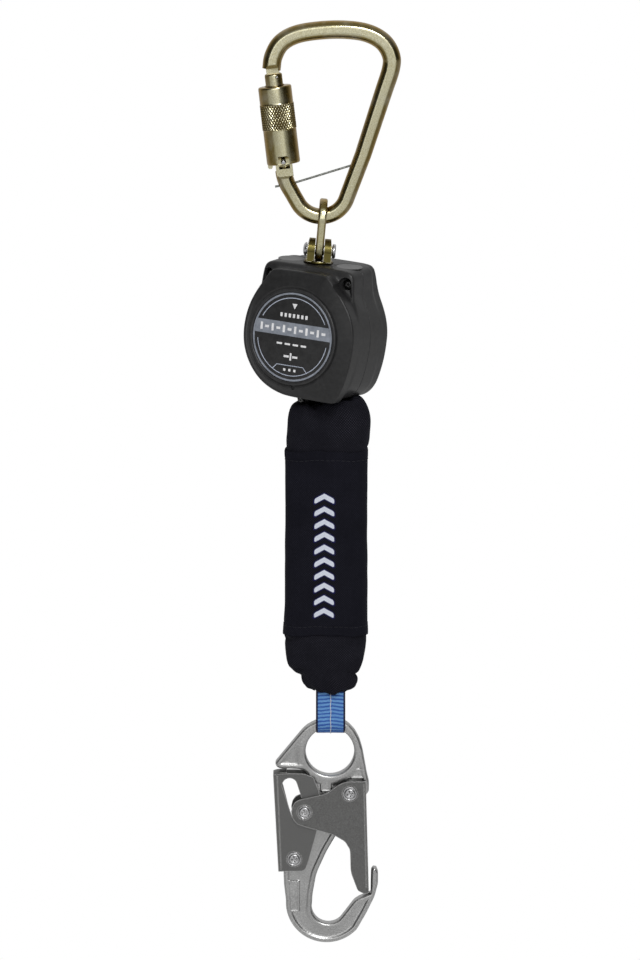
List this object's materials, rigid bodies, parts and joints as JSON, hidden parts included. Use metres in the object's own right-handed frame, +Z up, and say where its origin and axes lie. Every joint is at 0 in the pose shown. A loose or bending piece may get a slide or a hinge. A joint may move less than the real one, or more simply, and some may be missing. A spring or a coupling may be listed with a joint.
{
  "type": "self retracting lifeline",
  "caption": "Personal self retracting lifeline: steel carabiner, swivel, round plastic reel housing with sprung drum and pawl brake, webbing absorber pack, double-locking snap hook.",
  "frame": {"origin": "on the seat inside the carabiner's top bar, at the anchor mount, from which the device hangs", "axes": "+Z up along the hanging lifeline, +Y away from the viewer of the label side, +X to the right in the plane of the carabiner and snap hook"},
  "size_m": [0.0944, 0.0783, 0.5583],
  "materials": {
    "yellow_zinc": "yellow zinc plate",
    "bright_steel": "bright zinc",
    "spring_steel": "blued spring steel",
    "plate_steel": "dull zinc plate",
    "bronze": "sintered bronze",
    "housing_plastic": "fine moulded texture",
    "label_face": "printed film",
    "zinc_steel": "satin zinc on forged steel",
    "drum_nylon": "moulded nylon",
    "lifeline_web": "woven",
    "cover_fabric": "woven nylon",
    "wrap_fabric": "woven nylon, printed",
    "blue_web": "woven webbing"
  },
  "bodies": {
    "carabiner": {"carabiner_body": "yellow_zinc", "captive_wire": "bright_steel", "gate_hinge_pin": "bright_steel"},
    "gate": {"carabiner_gate": "yellow_zinc", "gate_latch_pin": "bright_steel", "sleeve_spring": "spring_steel"},
    "sleeve": {"gate_sleeve": "yellow_zinc"},
    "eye": {"swivel_eye": "yellow_zinc"},
    "clevis": {"swivel_clevis": "yellow_zinc", "clevis_pin": "bright_steel", "swivel_nut": "plate_steel", "swivel_washer": "bronze"},
    "housing": {"front_housing": "housing_plastic", "rear_housing": "housing_plastic", "front_cap": "housing_plastic", "front_label": "label_face", "screw_right_ear": "bright_steel", "screw_left_ear": "bright_steel", "screw_foot": "bright_steel", "nut_right_ear": "bright_steel", "nut_left_ear": "bright_steel", "nut_foot": "bright_steel", "load_frame": "plate_steel", "ratchet_ring": "plate_steel", "main_shaft": "zinc_steel", "shaft_nut": "plate_steel", "spring_case": "drum_nylon", "power_spring": "spring_steel", "lifeline_webbing": "lifeline_web"},
    "drum": {"drum": "drum_nylon", "drum_bush_front": "bronze", "drum_bush_rear": "bronze", "spooled_webbing": "lifeline_web", "pawl_pin_a": "bright_steel", "pawl_pin_b": "bright_steel", "pawl_spring_a": "spring_steel", "pawl_spring_b": "spring_steel"},
    "pawl_a": {"pawl_a": "zinc_steel"},
    "pawl_b": {"pawl_b": "zinc_steel"},
    "pack": {"pack_cover": "cover_fabric", "pack_wrap": "wrap_fabric", "tear_web_pack": "lifeline_web", "hook_loop_webbing": "blue_web"},
    "hook": {"hook_body": "zinc_steel", "gate_rivet": "bright_steel", "lever_rivet": "bright_steel", "hook_gate_spring": "spring_steel", "hook_lever_spring": "spring_steel"},
    "hook_gate": {"hook_gate": "plate_steel", "gate_arm_pin": "bright_steel"},
    "hook_lever": {"hook_lever": "plate_steel"}
  },
  "joints": [
    {"name": "gate_swing", "type": "hinge", "parent": "carabiner", "child": "gate", "pos_m": [-0.028, 0, -0.07274], "axis": [0, 1, 0], "range_deg": [0, 28], "stiffness_Nm_per_rad": 0.02, "springref_deg": -22.92},
    {"name": "sleeve_twist", "type": "hinge", "parent": "gate", "child": "sleeve", "pos_m": [-0.028, 0, -0.07274], "axis": [-0.116, 0, 0.9933], "range_deg": [0, 80], "stiffness_Nm_per_rad": 0.01, "springref_deg": -17.19},
    {"name": "eye_rock", "type": "hinge", "parent": "carabiner", "child": "eye", "pos_m": [-0.0056, 0, -0.08944], "axis": [0, 1, 0], "range_deg": [-35, 30]},
    {"name": "clevis_pitch", "type": "hinge", "parent": "eye", "child": "clevis", "pos_m": [-0.00659, 0, -0.12563], "axis": [0.9962, 0, -0.0872], "range_deg": [-70, 70]},
    {"name": "housing_spin", "type": "hinge", "parent": "clevis", "child": "housing", "pos_m": [-0.00659, 0, -0.12563], "axis": [0.0872, 0, 0.9962], "continuous": true},
    {"name": "lifeline_pull", "type": "slide", "parent": "housing", "child": "pack", "axis": [0, 0, -1], "range_m": [0, 1.38], "stiffness_N_per_m": 8, "springref_m": -2, "deforming": ["lifeline_webbing"]},
    {"name": "drum_spin", "type": "hinge", "parent": "housing", "child": "drum", "pos_m": [-0.011, 0, -0.17604], "axis": [0.4631, 0.8854, -0.0405], "range_deg": [-2, 3962]},
    {"name": "pawl_a_out", "type": "hinge", "parent": "drum", "child": "pawl_a", "pos_m": [0.0118, 0.0038, -0.17804], "axis": [-0.4631, -0.8854, 0.0405], "range_deg": [0, 16], "stiffness_Nm_per_rad": 0.001, "springref_deg": -11.46},
    {"name": "pawl_b_out", "type": "hinge", "parent": "drum", "child": "pawl_b", "pos_m": [-0.02083, 0.02099, -0.17518], "axis": [-0.4631, -0.8854, 0.0405], "range_deg": [0, 16], "stiffness_Nm_per_rad": 0.001, "springref_deg": -11.46},
    {"name": "hook_swing", "type": "hinge", "parent": "pack", "child": "hook", "pos_m": [-0.0003, -0.004, -0.41074], "axis": [1, 0, 0], "range_deg": [-60, 60]},
    {"name": "hook_gate_swing", "type": "hinge", "parent": "hook", "child": "hook_gate", "pos_m": [0.0117, -0.004, -0.45414], "axis": [0, 1, 0], "range_deg": [0, 28], "stiffness_Nm_per_rad": 0.05, "springref_deg": -22.92},
    {"name": "hook_lever_squeeze", "type": "hinge", "parent": "hook", "child": "hook_lever", "pos_m": [-0.0219, -0.004, -0.49494], "axis": [0, 1, 0], "range_deg": [-0.5, 11], "stiffness_Nm_per_rad": 0.03, "springref_deg": -17.19}
  ],
  "couplings": [
    {"joint": "drum_spin", "follows": "lifeline_pull", "rad_per_m": 50.083},
    {"joint": "hook_lever_squeeze", "follows": "hook_gate_swing", "ratio": 0.35714}
  ]
}
